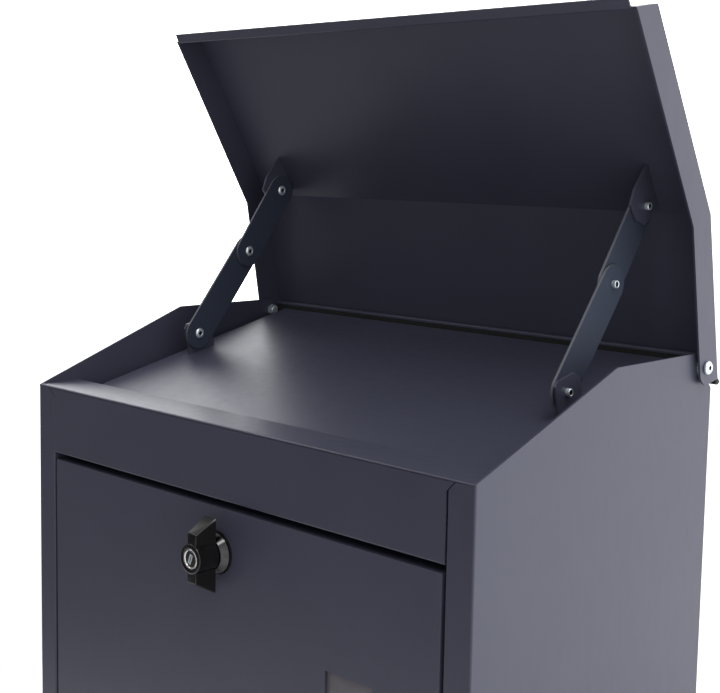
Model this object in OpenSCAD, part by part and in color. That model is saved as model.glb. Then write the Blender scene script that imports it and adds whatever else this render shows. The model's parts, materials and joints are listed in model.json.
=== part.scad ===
// Parcel drop box in folded sheet steel: a body with a sloped top, a hinged lid, an inner
// flap hung from the lid on folding stays, and a drop-down front door with a knob lock.
// Millimetres, +Z up, front face towards -Y. The origin is the centre of the base's underside.

/* [Body] */
// Width over the side panels
body_w = 440; // [400:1:520]
// Depth from the front face to the rear edge of the side panels
body_d = 260; // [256:1:264]
// Height of the side panels at the rear
body_h = 580; // [520:1:760]
// Drop of the top edge from the rear to the front corner
slope_drop = 52; // [48:1:56]
// Run of the sloped part of the top edge
slope_run = 140; // [136:1:144]
// Thickness of the folded sheet
sheet = 1.5; // [1.2:0.1:1.6]
// Width of the front strips beside the door
strip_w = 20.5; // [18:0.5:24]
// Height of the front rail above the door
rail_h = 51.5; // [48:0.5:56]
// Depth of the flange on top of the front rail
rail_flange_d = 36; // [30:1:40]
// Height of the front sill under the door
sill_h = 34; // [28:1:36]

/* [Lid] */
// Height of the lid hinge below the rear top edge
hinge_drop = 10; // [9:0.5:11]
// Distance of the lid hinge from the rear edge
hinge_inset = 15; // [14:0.5:16]
// Opening angle of the lid in the drawn position
lid_open = 80; // [0:1:80]
// Distance of the lid's outer face from the hinge
lid_offset = 15; // [14.5:0.1:15.5]
// Depth of the lid's side flanges
lid_flange_d = 24; // [22:1:26]
// Gap between the lid flanges and the side panels
lid_side_gap = 2.5; // [2:0.1:3]
// Reach of the outward grip at the foot of the front lip
lip_grip = 6.5; // [4:0.5:8]

/* [Flap and stays] */
// Tilt of the inner flap in the drawn position
flap_tilt = 13.4; // [12:0.1:14]
// Length of the inner flap from its hinge rod to its rear edge
flap_len = 225; // [215:1:226]
// Width of the inner flap
flap_w = 403; // [360:1:404]
// Distance of the stays' outermost layer from the side panel's outer face
stay_inset = 32; // [30:1:40]
// Thickness of a stay link
link_t = 2; // [1.5:0.1:2.5]
// Width of a stay link
link_w = 26; // [22:1:26]
// Running gap between two layers of a stay
layer_gap = 0.4; // [0.3:0.1:0.6]

/* [Door and lock] */
// Gap between the door and the strips
door_gap = 2.5; // [2:0.5:3]
// Gap between the door and the rail
door_top_gap = 5; // [4:0.5:6]
// Width of the viewing window
window_w = 41; // [30:1:60]
// Height of the viewing window
window_h = 160; // [60:1:200]
// Offset of the lock from the centre line
lock_x = -2; // [-20:1:20]
// Depth of the lock axis below the front top edge
lock_drop = 88; // [84:1:96]
// Span of the knob's wing at its root
wing_span = 51.5; // [44:0.5:56]

/* [Hidden] */
$fn = 48;

steel_c = [0.19, 0.20, 0.24];
link_c = [0.17, 0.19, 0.23];
zinc_c = [0.80, 0.81, 0.83];
rubber_c = [0.05, 0.05, 0.05];
knob_c = [0.06, 0.06, 0.06];
pane_c = [0.36, 0.34, 0.36];

front_y = -body_d / 2;
rear_y = body_d / 2;
side_x = body_w / 2;
front_h = body_h - slope_drop;
kink_y = front_y + slope_run;
slope = atan(slope_drop / slope_run);
inner_x = side_x - sheet;
hinge_y = rear_y - hinge_inset;
hinge_z = body_h - hinge_drop;

// Lid, described closed and then turned open about the hinge.
lid_top_z = hinge_z + lid_offset;
lid_rear_y = hinge_y + 12;
lid_bend_y = kink_y + 0.5;
lip_clear = 2;
lid_front_y = front_y - lip_clear - sheet;
lid_front_z = lid_top_z - (lid_bend_y - lid_front_y) * tan(slope);
lip_h = lid_flange_d / cos(slope);
lid_x = side_x + lid_side_gap + sheet;
grip_dip = 17;

// Stay layers, counted from the side panel inwards: lug, lower link with lid bracket, upper link.
layer_pitch = link_t + layer_gap;
lug_x = side_x - stay_inset - link_t;
mid_x = lug_x - layer_pitch;
top_x = mid_x - layer_pitch;

// Stay pivots in the drawn position, as [y, z].
rod_pt = [front_y + 28, front_h - 9];
lug_pivot = [110.9, 16.8];
flap_pt = rod_pt + [lug_pivot[0] * cos(flap_tilt) - lug_pivot[1] * sin(flap_tilt),
    lug_pivot[0] * sin(flap_tilt) + lug_pivot[1] * cos(flap_tilt)];
lid_pt_closed = [hinge_y - 112.1, hinge_z - 4.1];
lid_pt = turned(lid_pt_closed, -lid_open);
knee_pt = [front_y + 184.5, front_h + 100];

// Stepped and hemmed top of the back panel.
step_y = hinge_y + 7.5;
hem_z = body_h - 2;
hem_l = 2.8;
hem_t = 1.6;

pivot_r = 2.4;
pivot_hole_r = pivot_r + 0.06;
rivet_body_r = 2.1;
rivet_head_r = 4.2;
rivet_head_h = 1.4;
rivet_core_r = 1.5;

seam_gap = 0.9;
door_x = side_x - strip_w - door_gap;
door_axis = [front_y + 8, sill_h + 12];
door_z0 = sill_h + 5.5;
door_z1 = front_h - rail_h - door_top_gap;
door_return_d = 20;
door_pin_r = 2.5;
window_x0 = 103;
window_z1 = front_h - 141.5;
lock_z = front_h - lock_drop;

collar_r = 14;
collar_l = 6.5;
barrel_r = 10.5;
barrel_y = front_y - 24.5;
housing_r = 9;
housing_l = 19;
spindle_r = 3.5;

spacer_x = 150;
spacer_z = [90, 480];
spacer_hole_r = 4;
rod_r = 3;
screw_r = 3;

// A point of the YZ plane turned about the lid hinge.
function turned(p, a) = [hinge_y, hinge_z]
    + [(p[0] - hinge_y) * cos(a) - (p[1] - hinge_z) * sin(a),
       (p[0] - hinge_y) * sin(a) + (p[1] - hinge_z) * cos(a)];

// Points of a circular arc.
function arc(c, r, a0, a1, n = 8) =
    [for (i = [0:n]) c + r * [cos(a0 + (a1 - a0) * i / n), sin(a0 + (a1 - a0) * i / n)]];

// Direction from one point to another, and the normal on its left.
function dir(a, b) = (b - a) / norm(b - a);
function left(d) = [-d[1], d[0]];

// Offset of one vertex of a folded strip, with mitred corners.
function miter(p, i, t) =
    let (n0 = left(dir(p[max(i - 1, 0)], p[max(i, 1)])),
         n1 = left(dir(p[min(i, len(p) - 2)], p[min(i + 1, len(p) - 1)])))
    p[i] + t * (n0 + n1) / (1 + n0 * n1);

// Outline of a sheet of thickness t folded along the points p, with its material on the left.
function folded(p, t) =
    concat(p, [for (i = [len(p) - 1:-1:0]) miter(p, i, t)]);

// Extrudes an outline of the YZ plane from x0 to x1.
module along_x(x0, x1) {
    translate([x0, 0, 0]) rotate([90, 0, 90]) linear_extrude(x1 - x0) children();
}

// Extrudes an outline of the XZ plane from y0 to y1.
module along_y(y0, y1) {
    translate([0, y1, 0]) rotate([90, 0, 0]) linear_extrude(y1 - y0) children();
}

// A box between two corners.
module block(a, b) {
    translate(a) cube(b - a);
}

// A cylinder along X from x0 to x1, centred on the YZ point p.
module pin_x(p, r, x0, x1) {
    translate([x0, p[0], p[1]]) rotate([0, 90, 0]) cylinder(r = r, h = x1 - x0);
}

// A cylinder along Y from y0 to y1, centred on the XZ point p.
module pin_y(p, r, y0, y1) {
    translate([p[0], y1, p[1]]) rotate([90, 0, 0]) cylinder(r = r, h = y1 - y0);
}

// Turns the closed lid into the drawn position.
module lid_place() {
    translate([0, hinge_y, hinge_z]) rotate([-lid_open, 0, 0])
        translate([0, -hinge_y, -hinge_z]) children();
}

// Puts the flap, described flat with its hinge rod at the origin, into the drawn position.
module flap_place() {
    translate([0, rod_pt[0], rod_pt[1]]) rotate([flap_tilt, 0, 0]) children();
}

// Mirrors a right-hand piece to the side s, which is 1 or -1.
module side(s) {
    mirror([s < 0 ? 1 : 0, 0, 0]) children();
}

// Side panel with its front strip, the strip's inner return and the rear return.
module side_panel(s) {
    relief = hinge_drop;
    notch_z = hinge_z - 17;
    strip_x = side_x - strip_w;
    corner = 6;
    flange_z = front_h - sheet;
    color(steel_c) side(s) difference() {
        union() {
            along_x(inner_x, side_x) polygon(concat(
                [[front_y, 0], [rear_y, 0], [rear_y, notch_z], [hinge_y + relief, notch_z + 5]],
                arc([hinge_y, hinge_z], relief, 0, 90),
                [[kink_y, body_h], [front_y + sheet, front_h], [front_y + sheet, flange_z],
                 [front_y, flange_z]]));
            along_y(front_y, front_y + sheet) polygon([[strip_x, 0], [side_x, 0],
                [side_x, flange_z], [strip_x + corner, flange_z], [strip_x, flange_z - corner]]);
            block([strip_x, front_y, 15], [strip_x + sheet, front_y + 14, flange_z - 14]);
            block([inner_x - 18, rear_y - sheet, 12], [side_x, rear_y, notch_z - 6]);
        }
        pin_x([hinge_y, hinge_z], screw_r + 0.05, inner_x - 1, side_x + 1);
        pin_x(door_axis, door_pin_r, strip_x - 1, strip_x + sheet + 1);
        for (z = rivet_rows())
            pin_y([inner_x - 10, z], rivet_body_r, rear_y - sheet - 1, rear_y + 1);
    }
}

// Back panel: its upper part steps forward so that the lid's rear edge can pass behind it.
module back_panel() {
    back_y = rear_y - sheet;
    half = inner_x - 0.2;
    color(steel_c) difference() {
        union() {
            along_x(-half, half) polygon(folded([[back_y, sheet + 0.3], [back_y, hinge_z - 26],
                [step_y + sheet, hinge_z - 18], [step_y + sheet, hem_z]], sheet));
            along_x(-half, half) polygon(concat([[step_y, hem_z - hem_l], [step_y, hem_z]],
                arc([step_y, hem_z - hem_t], hem_t, 90, 180), [[step_y - hem_t, hem_z - hem_l]]));
        }
        for (x = [-spacer_x, spacer_x], z = spacer_z)
            pin_y([x, z], spacer_hole_r, back_y - 9, rear_y + 1);
        for (s = [-1, 1], z = rivet_rows())
            pin_y([s * (inner_x - 10), z], rivet_body_r, back_y - 9, rear_y + 1);
    }
}

// Black sealing strip under the hem, which the flap's rear edge comes up in front of.
module rear_seal() {
    seal_l = 8;
    color(rubber_c) block([-inner_x + 0.6, step_y - 1.2, hem_z - hem_l - seal_l],
        [inner_x - 0.6, step_y, hem_z - hem_l - 0.1]);
}

// Heights of the rivets that hold the back panel.
function rivet_rows() = [for (i = [0:3]) 60 + i * (hinge_z - 110) / 3];

// Base tray with turned-up front and rear edges.
module base_panel() {
    color(steel_c) along_x(-inner_x + 0.2, inner_x - 0.2) polygon(folded(
        [[front_y + sheet + 0.2, 13], [front_y + sheet + 0.2, 0], [rear_y - sheet * 2 - 0.2, 0],
         [rear_y - sheet * 2 - 0.2, 11]], sheet));
}

// Front rail: a channel with a flange on top, and a lip at its foot that the cam hooks behind.
module front_rail() {
    face_x = side_x - strip_w - seam_gap;
    foot_z = front_h - rail_h;
    corner = 6;
    color(steel_c) union() {
        along_x(-face_x + 1.6, face_x - 1.6) polygon(folded(
            [[front_y + 19, foot_z + 12], [front_y + 19, foot_z], [front_y, foot_z],
             [front_y, front_h], [front_y + rail_flange_d, front_h]], -sheet));
        along_y(front_y, front_y + sheet) polygon([[-face_x, foot_z], [face_x, foot_z],
            [face_x, front_h - sheet - corner - 0.2], [face_x + corner, front_h - sheet],
            [-face_x - corner, front_h - sheet], [-face_x, front_h - sheet - corner - 0.2]]);
        block([-side_x, front_y, front_h - sheet], [side_x, front_y + sheet, front_h]);
        block([-inner_x + 0.2, front_y + sheet, front_h - sheet],
            [inner_x - 0.2, front_y + rail_flange_d, front_h]);
    }
}

// Front sill under the door.
module front_sill() {
    face_x = side_x - strip_w - seam_gap;
    color(steel_c) along_x(-face_x, face_x) polygon(folded(
        [[front_y + 12, sill_h], [front_y, sill_h], [front_y, 0]], sheet));
}

// Blind rivets that join the back panel to the side panels.
module back_rivets() {
    color(zinc_c) for (s = [-1, 1], z = rivet_rows()) {
        pin_y([s * (inner_x - 10), z], rivet_body_r, rear_y - sheet * 2 - 3, rear_y);
        pin_y([s * (inner_x - 10), z], 4, rear_y, rear_y + 1.2);
        pin_y([s * (inner_x - 10), z], 2.7, rear_y - sheet * 2 - 3, rear_y - sheet * 2);
    }
}

// Rubber spacers at the wall fixings: they keep the swinging lid off the wall.
module wall_spacers() {
    color(rubber_c) for (x = [-spacer_x, spacer_x], z = spacer_z) difference() {
        pin_y([x, z], 12, rear_y - sheet, rear_y + 12);
        pin_y([x, z], spacer_hole_r, rear_y - 3, rear_y + 13);
    }
}

// Bracket that carries one end of the flap's hinge rod under the rail flange.
module flap_bracket(s) {
    x0 = flap_w / 2 + 3;
    under = front_h - sheet;
    eye_r = 7.4;
    color(steel_c) side(s) difference() {
        union() {
            block([x0, rod_pt[0] - eye_r, under - 2], [x0 + 11, rod_pt[0] + eye_r, under]);
            block([x0, rod_pt[0] - eye_r, rod_pt[1]], [x0 + 2, rod_pt[0] + eye_r, under]);
            pin_x(rod_pt, eye_r, x0, x0 + 2);
        }
        pin_x(rod_pt, rod_r, x0 - 1, x0 + 3);
    }
}

// Hinge rod of the inner flap.
module flap_rod() {
    end_x = flap_w / 2 + 8;
    color(zinc_c) pin_x(rod_pt, rod_r, -end_x, end_x);
}

// Shoulder screw that the lid turns on: a shaft with a low round head and a hexagon socket.
module hinge_screw(s) {
    head_x = lid_x + 0.3;
    head_r = 4.6;
    color(zinc_c) side(s) difference() {
        union() {
            pin_x([hinge_y, hinge_z], screw_r, inner_x - 5, head_x);
            pin_x([hinge_y, hinge_z], head_r, head_x, head_x + 1.4);
            translate([head_x + 1.4, hinge_y, hinge_z]) rotate([0, 90, 0])
                cylinder(r1 = head_r, r2 = head_r - 1.2, h = 1);
        }
        translate([head_x + 0.6, hinge_y, hinge_z]) rotate([0, 90, 0])
            cylinder(r = 1.7, h = 3, $fn = 6);
    }
}

// Nut on the inner end of the hinge screw.
module hinge_nut(s) {
    color(zinc_c) side(s) difference() {
        translate([inner_x - 4, hinge_y, hinge_z]) rotate([0, 90, 0])
            cylinder(r = 5, h = 4, $fn = 6);
        pin_x([hinge_y, hinge_z], screw_r, inner_x - 5, inner_x + 1);
    }
}

// Washer that holds the lid flange off the side panel.
module hinge_spacer(s) {
    color(zinc_c) side(s) difference() {
        pin_x([hinge_y, hinge_z], 6.5, side_x, side_x + lid_side_gap - 0.2);
        pin_x([hinge_y, hinge_z], screw_r, side_x - 1, side_x + lid_side_gap + 1);
    }
}

// Hinge pin of the door, held in the strip's inner return.
module door_pin(s) {
    strip_x = side_x - strip_w;
    color(zinc_c) side(s) union() {
        pin_x(door_axis, door_pin_r, door_x - 6, strip_x + sheet + 2);
        pin_x(door_axis, 4, strip_x + sheet, strip_x + sheet + 2);
    }
}

// Lid: rear panel, sloped front panel, hanging lip with an outward grip, and side flanges.
module lid_panel() {
    grip = [lid_front_y - lip_grip * cos(grip_dip),
        lid_front_z - lip_h - lip_grip * sin(grip_dip)];
    outline = [[lid_rear_y, lid_top_z], [lid_bend_y, lid_top_z], [lid_front_y, lid_front_z],
        [lid_front_y, lid_front_z - lip_h], grip];
    heel_r = 9;
    heel = [lid_rear_y - heel_r, lid_top_z - lid_flange_d + heel_r];
    free_bend_y = lid_bend_y + lid_flange_d * tan(slope / 2);
    flange_x = lid_x - sheet;
    color(steel_c) lid_place() union() {
        along_x(-lid_x, lid_x) polygon(folded([for (i = [0:3]) outline[i]], sheet));
        along_x(-lid_x + 4, lid_x - 4)
            polygon(folded([outline[3] - sheet * dir(outline[3], grip), grip], sheet));
        for (s = [-1, 1]) side(s) difference() {
            along_x(flange_x, lid_x) polygon(concat([[lid_rear_y, lid_top_z],
                [lid_bend_y, lid_top_z], outline[2], outline[3],
                [free_bend_y, lid_top_z - lid_flange_d]], arc(heel, heel_r, -90, 0)));
            pin_x([hinge_y, hinge_z], screw_r + 0.1, flange_x - 1, lid_x + 1);
        }
    }
}

// Rubber profile clipped over the lid's rear edge.
module lid_edge_strip() {
    edge_y = lid_rear_y + 0.2;
    wall = 1.4;
    flange_x = lid_x - sheet;
    color(rubber_c) lid_place() union() {
        along_x(-lid_x + 0.5, lid_x - 0.5) polygon(concat(
            [[edge_y, lid_top_z + wall - 1], [edge_y, lid_top_z - sheet - wall + 0.4]],
            arc([edge_y + 1, lid_top_z - sheet / 2], 3.2, -60, 60)));
        along_x(-flange_x + 0.2, flange_x - 0.2) polygon([[edge_y + 0.5, lid_top_z - sheet - wall],
            [edge_y + 0.5, lid_top_z - sheet - 0.05], [edge_y - 4.5, lid_top_z - sheet - 0.05],
            [edge_y - 4.5, lid_top_z - sheet - 0.8]]);
    }
}

// Bracket under the lid that carries the upper end of a stay.
module lid_bracket(s) {
    under_z = lid_top_z - sheet / cos(slope);
    function under(y) = under_z - (lid_bend_y - y) * tan(slope);
    p = lid_pt_closed;
    base0 = lid_bend_y - 5;
    base1 = lid_bend_y - 36;
    color(steel_c) side(s) lid_place() difference() {
        along_x(mid_x, mid_x + link_t) polygon([[base0, under(base0)], [base1, under(base1)],
            [p[0] - 14, p[1] - 13], [p[0] - 4, p[1] - 19], [p[0] + 8, p[1] - 13],
            [p[0] + 13, p[1] - 3]]);
        pin_x(p, pivot_r, mid_x - 1, mid_x + link_t + 1);
    }
}

// Blind rivet of a stay pivot, held in the outer layer: the inner layer turns on it.
// x0 and x1 are the faces of the layers, and its ringed head is on the inner side.
module stay_rivet(p, x0, x1) {
    tail_l = 3;
    color(zinc_c) difference() {
        union() {
            pin_x(p, pivot_r, x0 - 0.1, x1 + tail_l);
            pin_x(p, rivet_head_r, x0 - 0.1 - rivet_head_h, x0 - 0.1);
            pin_x(p, pivot_r + 0.3, x1, x1 + tail_l);
        }
        pin_x(p, rivet_core_r, x0 - rivet_head_h - 1, x0 + 0.6);
        pin_x(p, rivet_core_r, x1 + 0.5, x1 + tail_l + 1);
    }
}

// Rivet of a stay's upper pivot.
module lid_rivet(s) {
    side(s) stay_rivet(lid_pt, top_x, mid_x + link_t);
}

// A flat stay link between two pivots, with rounded ends.
module stay_link(a, b, x0, r0, r1) {
    d = atan2(b[1] - a[1], b[0] - a[0]);
    color(link_c) difference() {
        along_x(x0, x0 + link_t)
            polygon(concat(arc(a, link_w / 2, d + 90, d + 270, 16),
                arc(b, link_w / 2, d - 90, d + 90, 16)));
        pin_x(a, r0, x0 - 1, x0 + link_t + 1);
        pin_x(b, r1, x0 - 1, x0 + link_t + 1);
    }
}

// Upper link, from the lid bracket to the knee.
module upper_link(s) {
    side(s) stay_link(lid_pt, knee_pt, top_x, pivot_hole_r, pivot_r);
}

// Head half of the knee rivet, fixed in the upper link.
module knee_rivet(s) {
    color(zinc_c) side(s) difference() {
        union() {
            pin_x(knee_pt, pivot_r, top_x - 0.1, top_x + link_t);
            pin_x(knee_pt, rivet_head_r, top_x - 0.1 - rivet_head_h, top_x);
        }
        pin_x(knee_pt, rivet_core_r, top_x - rivet_head_h - 1, top_x + 0.6);
    }
}

// Lower link, from the knee to the flap lug.
module lower_link(s) {
    side(s) stay_link(knee_pt, flap_pt, mid_x, pivot_r, pivot_hole_r);
}

// Tail half of the knee rivet, fixed in the lower link.
module knee_tail(s) {
    tail_l = 3;
    color(zinc_c) side(s) difference() {
        union() {
            pin_x(knee_pt, pivot_r, mid_x, mid_x + link_t + tail_l);
            pin_x(knee_pt, pivot_r + 0.3, mid_x + link_t, mid_x + link_t + tail_l);
        }
        pin_x(knee_pt, rivet_core_r, mid_x + link_t + 0.5, mid_x + link_t + tail_l + 1);
    }
}

// Inner flap: a plate curled round its hinge rod, with its rear edge turned down.
module flap_plate() {
    curl_r = rod_r + 1.6;
    half = flap_w / 2;
    color(steel_c) flap_place() difference() {
        union() {
            along_x(-half, half) polygon([[0, 0], [flap_len - sheet, 0], [flap_len - sheet, -8],
                [flap_len, -8], [flap_len, sheet], [0, sheet]]);
            pin_x([0, 0], curl_r, -half, half);
        }
        pin_x([0, 0], rod_r + 0.06, -half - 1, half + 1);
    }
}

// Lug on the flap that carries the lower end of a stay.
module flap_lug(s) {
    front = lug_pivot[0] - 12;
    rear = lug_pivot[0] + 15.5;
    top = lug_pivot[1] + 10.4;
    color(steel_c) side(s) flap_place() difference() {
        along_x(lug_x, lug_x + link_t) polygon([[front, sheet], [rear, sheet],
            [rear, top - 6], [rear - 6, top], [front + 3, top], [front, top - 3]]);
        pin_x(lug_pivot, pivot_r, lug_x - 1, lug_x + link_t + 1);
    }
}

// Rivet of a stay's lower pivot.
module flap_rivet(s) {
    side(s) stay_rivet(flap_pt, mid_x, lug_x + link_t);
}

// Door: a pan with turned-in edges, a window cut-out and the lock hole.
module door_panel() {
    inner = front_y + sheet;
    back = front_y + door_return_d;
    color(steel_c) difference() {
        union() {
            block([-door_x, front_y, door_z0], [door_x, inner, door_z1]);
            for (s = [-1, 1]) side(s)
                block([door_x - sheet, front_y, door_z0], [door_x, back, door_z1]);
            block([-door_x, front_y, door_z1 - sheet], [door_x, back, door_z1]);
            block([-door_x, front_y, door_z0], [door_x, back - 8, door_z0 + sheet]);
        }
        block([window_x0, front_y - 1, window_z1 - window_h],
            [window_x0 + window_w, inner + 1, window_z1]);
        pin_y([lock_x, lock_z], housing_r, front_y - 1, inner + 1);
        pin_x(door_axis, door_pin_r + 0.06, -door_x - 1, door_x + 1);
    }
}

// Clear pane behind the window cut-out.
module window_pane() {
    lap = 7;
    y0 = front_y + sheet + 1;
    color(pane_c) block([window_x0 - lap, y0, window_z1 - window_h - lap],
        [window_x0 + window_w + lap, y0 + 2, window_z1 + lap]);
}

// Mounting tape between the pane and the door.
module window_tape() {
    lap = 6;
    y0 = front_y + sheet;
    color(rubber_c) difference() {
        block([window_x0 - lap, y0, window_z1 - window_h - lap],
            [window_x0 + window_w + lap, y0 + 1, window_z1 + lap]);
        block([window_x0 - 1.5, y0 - 1, window_z1 - window_h - 1.5],
            [window_x0 + window_w + 1.5, y0 + 2, window_z1 + 1.5]);
    }
}

// Lock body: a collar on the door and a threaded barrel through it.
module lock_body() {
    p = [lock_x, lock_z];
    color(zinc_c) difference() {
        union() {
            pin_y(p, collar_r, front_y - collar_l, front_y - 1.2);
            pin_y(p, housing_r, front_y - 2, front_y + housing_l);
        }
        pin_y(p, spindle_r + 0.06, front_y - collar_l - 1, front_y + housing_l + 1);
    }
}

// Black washer under the collar.
module lock_washer() {
    p = [lock_x, lock_z];
    color(knob_c) difference() {
        pin_y(p, collar_r + 1, front_y - 1.2, front_y);
        pin_y(p, housing_r, front_y - 2, front_y + 1);
    }
}

// Nut that clamps the lock body in the door.
module lock_nut() {
    p = [lock_x, lock_z];
    color(zinc_c) difference() {
        translate([lock_x, front_y + sheet + 5, lock_z]) rotate([90, 0, 0])
            cylinder(r = 13, h = 5, $fn = 6);
        pin_y(p, housing_r, front_y - 1, front_y + 9);
    }
}

// Knob: a round barrel with a tapering wing, on a spindle that carries the cam.
module knob() {
    p = [lock_x, lock_z];
    root_y = front_y - collar_l - 0.4;
    tip_y = barrel_y + 1.4;
    root_t = 12.4;
    tip_t = 8.8;
    tip_span = 34;
    color(knob_c) difference() {
        union() {
            pin_y(p, barrel_r, barrel_y, root_y);
            pin_y(p, spindle_r, root_y - 1, front_y + housing_l + 6);
            intersection() {
                along_x(lock_x - root_t / 2, lock_x + root_t / 2) polygon([
                    [root_y, lock_z - wing_span / 2], [root_y, lock_z + wing_span / 2],
                    [tip_y, lock_z + tip_span / 2], [tip_y, lock_z - tip_span / 2]]);
                translate([0, 0, lock_z - wing_span]) linear_extrude(2 * wing_span)
                    polygon([[lock_x - root_t / 2, root_y], [lock_x + root_t / 2, root_y],
                        [lock_x + tip_t / 2, tip_y], [lock_x - tip_t / 2, tip_y]]);
            }
        }
        pin_y(p, 7.06, barrel_y - 1, barrel_y + 12);
        pin_y([lock_x, lock_z + 8.6], 0.6, barrel_y - 1, barrel_y + 0.4);
    }
}

// Key plug in the knob, with its slot.
module key_plug() {
    slot_tilt = 20;
    color(zinc_c) difference() {
        pin_y([lock_x, lock_z], 7, barrel_y + 0.3, barrel_y + 11.9);
        translate([lock_x, barrel_y, lock_z]) rotate([0, slot_tilt, 0])
            translate([-0.9, -1, -3.6]) cube([1.8, 8, 7.2]);
    }
}

// Cam that hooks behind the rail's lip when the knob is turned.
module cam() {
    y0 = front_y + housing_l + 1.5;
    reach = lock_drop - rail_h + 9;
    color(zinc_c) difference() {
        union() {
            pin_y([lock_x, lock_z], 9, y0, y0 + 2.5);
            block([lock_x - reach, y0, lock_z - 8], [lock_x, y0 + 2.5, lock_z + 8]);
        }
        pin_y([lock_x, lock_z], spindle_r, y0 - 1, y0 + 4);
    }
}

// Screw that holds the cam on the spindle.
module cam_screw() {
    y0 = front_y + housing_l + 6;
    color(zinc_c) difference() {
        pin_y([lock_x, lock_z], 5, y0, y0 + 3);
        translate([lock_x - 0.6, y0 + 1.8, lock_z - 6]) cube([1.2, 2, 12]);
    }
}

side_panel(-1);  // left_side_panel
side_panel(1);  // right_side_panel
back_panel();
base_panel();
front_rail();
front_sill();
rear_seal();
back_rivets();
wall_spacers();
flap_bracket(-1);  // flap_bracket_left
flap_bracket(1);  // flap_bracket_right
flap_rod();
hinge_screw(-1);  // hinge_screw_left
hinge_screw(1);  // hinge_screw_right
hinge_nut(-1);  // hinge_nut_left
hinge_nut(1);  // hinge_nut_right
hinge_spacer(-1);  // hinge_spacer_left
hinge_spacer(1);  // hinge_spacer_right
door_pin(-1);  // door_pin_left
door_pin(1);  // door_pin_right
lid_panel();
lid_edge_strip();
lid_bracket(-1);  // lid_bracket_left
lid_bracket(1);  // lid_bracket_right
lid_rivet(-1);  // lid_rivet_left
lid_rivet(1);  // lid_rivet_right
upper_link(-1);  // upper_link_left
upper_link(1);  // upper_link_right
knee_rivet(-1);  // knee_rivet_left
knee_rivet(1);  // knee_rivet_right
lower_link(-1);  // lower_link_left
lower_link(1);  // lower_link_right
knee_tail(-1);  // knee_tail_left
knee_tail(1);  // knee_tail_right
flap_plate();
flap_lug(-1);  // flap_lug_left
flap_lug(1);  // flap_lug_right
flap_rivet(-1);  // flap_rivet_left
flap_rivet(1);  // flap_rivet_right
door_panel();
window_pane();
window_tape();
lock_body();
lock_washer();
lock_nut();
knob();
key_plug();
cam();
cam_screw();
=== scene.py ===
"""Parcel drop box in folded sheet steel, drawn with its lid open and its inner flap raised."""
import json
import logging
import math
from collections.abc import Callable
from dataclasses import dataclass, field
from enum import Enum

import bmesh
import bpy
from mathutils import Matrix, Vector

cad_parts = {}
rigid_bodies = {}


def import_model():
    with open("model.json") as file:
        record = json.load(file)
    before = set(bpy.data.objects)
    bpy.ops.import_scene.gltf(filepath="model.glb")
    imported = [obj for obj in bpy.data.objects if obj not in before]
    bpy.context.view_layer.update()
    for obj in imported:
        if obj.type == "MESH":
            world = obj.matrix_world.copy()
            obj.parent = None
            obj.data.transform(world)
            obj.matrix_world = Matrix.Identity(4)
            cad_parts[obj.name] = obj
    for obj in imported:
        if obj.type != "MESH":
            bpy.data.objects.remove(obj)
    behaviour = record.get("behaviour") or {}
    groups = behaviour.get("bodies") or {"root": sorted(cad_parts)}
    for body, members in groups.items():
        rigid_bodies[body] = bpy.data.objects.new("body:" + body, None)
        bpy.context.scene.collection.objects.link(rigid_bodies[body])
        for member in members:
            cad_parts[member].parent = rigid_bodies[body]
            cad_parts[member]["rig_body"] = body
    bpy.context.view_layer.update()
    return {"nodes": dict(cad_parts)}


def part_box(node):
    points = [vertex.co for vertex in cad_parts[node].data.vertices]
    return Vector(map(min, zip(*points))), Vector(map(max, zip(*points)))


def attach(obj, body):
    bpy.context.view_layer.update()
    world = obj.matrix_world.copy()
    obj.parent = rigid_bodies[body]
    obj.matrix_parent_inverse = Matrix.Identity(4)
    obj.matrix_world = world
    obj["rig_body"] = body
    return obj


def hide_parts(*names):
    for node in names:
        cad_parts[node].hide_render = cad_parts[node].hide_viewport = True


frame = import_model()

MM = 0.001
ALONG = 0.9
PARALLEL = 0.999
LEAST_SHARED = 2.0 * MM
LOG = logging.getLogger("parcel_drop_box")


class Side(Enum):
    """Left and right of the box, seen from the front."""

    LEFT = "left"
    RIGHT = "right"


class Axis(Enum):
    """Direction in which a turned piece lies."""

    X = "X"
    Y = "Y"


# ---------------------------------------------------------------- finishes


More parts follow.
